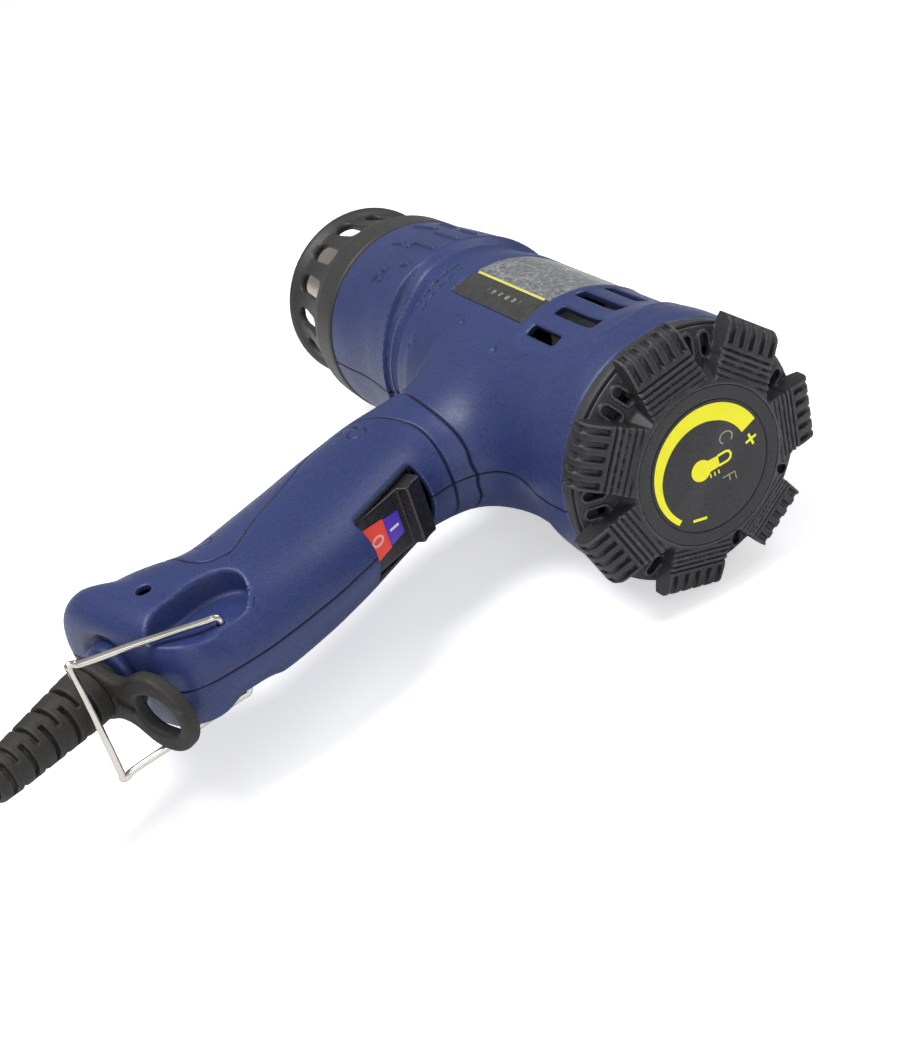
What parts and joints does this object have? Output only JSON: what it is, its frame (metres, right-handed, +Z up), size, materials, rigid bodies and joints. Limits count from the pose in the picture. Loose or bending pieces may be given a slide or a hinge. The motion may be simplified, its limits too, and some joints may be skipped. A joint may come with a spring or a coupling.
{
  "type": "heat gun",
  "caption": "Pistol-grip hot-air gun with slotted heat guard, steel nozzle, rear temperature dial, rocker switch, wire bail and ribbed cable boot.",
  "frame": {"origin": "centre of the nozzle outlet, on the barrel axis", "axes": "+X along the barrel towards the nozzle outlet, +Z up away from the handle, +Y the gun's left side"},
  "size_m": [0.2624, 0.0904, 0.3006],
  "materials": {
    "blue_shell": "fine satin grain",
    "screw_steel": "zinc plated",
    "label_film": "printed film",
    "black_plastic": "spark grain",
    "nozzle_steel": "rolled steel, warm tone",
    "mica": "mica sheet",
    "ceramic": "fired ceramic",
    "heater_wire": "resistance wire",
    "bright_steel": "bright",
    "ferrite": "sintered",
    "bronze": "sintered bronze",
    "switch_plastic": "moulded",
    "copper": "tinned copper",
    "board": "solder resist",
    "aluminium": "plain",
    "capacitor": "moulded case",
    "black_rubber": "moulded rubber",
    "cord_sheath": "extruded sheath",
    "lead_brown": "insulated wire",
    "lead_blue": "insulated wire",
    "lead_white": "insulated wire",
    "laminations": "stacked sheet",
    "fan_plastic": "glass-filled plastic",
    "dial_print": "printed insert",
    "bail_wire": "nickel plated wire"
  },
  "bodies": {
    "body": {"left_housing": "blue_shell", "right_housing": "blue_shell", "housing_screws": "screw_steel", "left_label": "label_film", "right_label": "label_film", "nozzle_guard": "black_plastic", "nozzle_tube": "nozzle_steel", "nozzle_grille": "nozzle_steel", "mica_sleeve": "mica", "heater_former": "ceramic", "heater_coil": "heater_wire", "terminal_disc": "mica", "thermal_cutout": "bright_steel", "centre_lead": "heater_wire", "heat_shield": "bright_steel", "outlet_cone": "bright_steel", "motor_can": "bright_steel", "motor_magnets": "ferrite", "motor_end_bell": "black_plastic", "rear_bush": "bronze", "front_bush": "bronze", "carbon_brushes": "ferrite", "motor_mount": "black_plastic", "motor_screws": "screw_steel", "rear_intake_ring": "black_plastic", "potentiometer_body": "bright_steel", "potentiometer_nut": "bright_steel", "switch_housing": "switch_plastic", "switch_terminals": "copper", "control_board": "board", "triac": "black_plastic", "triac_heatsink": "aluminium", "suppression_capacitor": "capacitor", "cord_clamp": "black_plastic", "cord_saddle": "black_plastic", "cord_clamp_screws": "screw_steel", "cable_boot": "black_rubber", "power_cord": "cord_sheath", "supply_live_lead": "lead_brown", "supply_neutral_lead": "lead_blue", "heater_leads": "lead_white", "dial_leads": "lead_white"},
    "rotor": {"motor_shaft": "bright_steel", "armature": "laminations", "commutator": "copper", "fan_impeller": "fan_plastic"},
    "dial": {"temperature_dial": "black_plastic", "dial_face": "dial_print", "dial_screw": "screw_steel", "potentiometer_shaft": "bright_steel"},
    "rocker": {"switch_rocker": "switch_plastic"},
    "bail": {"wire_bail": "bail_wire"},
    "loop": {"hanging_loop": "black_rubber"}
  },
  "joints": [
    {"name": "dial_turn", "type": "hinge", "parent": "body", "child": "dial", "pos_m": [-0.261, 0, 0], "axis": [1, 0, 0], "range_deg": [0, 212]},
    {"name": "fan_spin", "type": "hinge", "parent": "body", "child": "rotor", "pos_m": [-0.176, 0, 0], "axis": [1, 0, 0], "continuous": true},
    {"name": "switch_rock", "type": "hinge", "parent": "body", "child": "rocker", "pos_m": [-0.20102, 0, -0.08193], "axis": [0, 1, 0], "range_deg": [0, 12]},
    {"name": "bail_swing", "type": "hinge", "parent": "body", "child": "bail", "pos_m": [-0.2245, 0, -0.148], "axis": [0, 1, 0], "range_deg": [-3, 170]},
    {"name": "loop_swivel", "type": "hinge", "parent": "body", "child": "loop", "pos_m": [-0.2014, 0, -0.1822], "axis": [-0.416, 0, -0.9094], "range_deg": [-5, 15]}
  ]
}
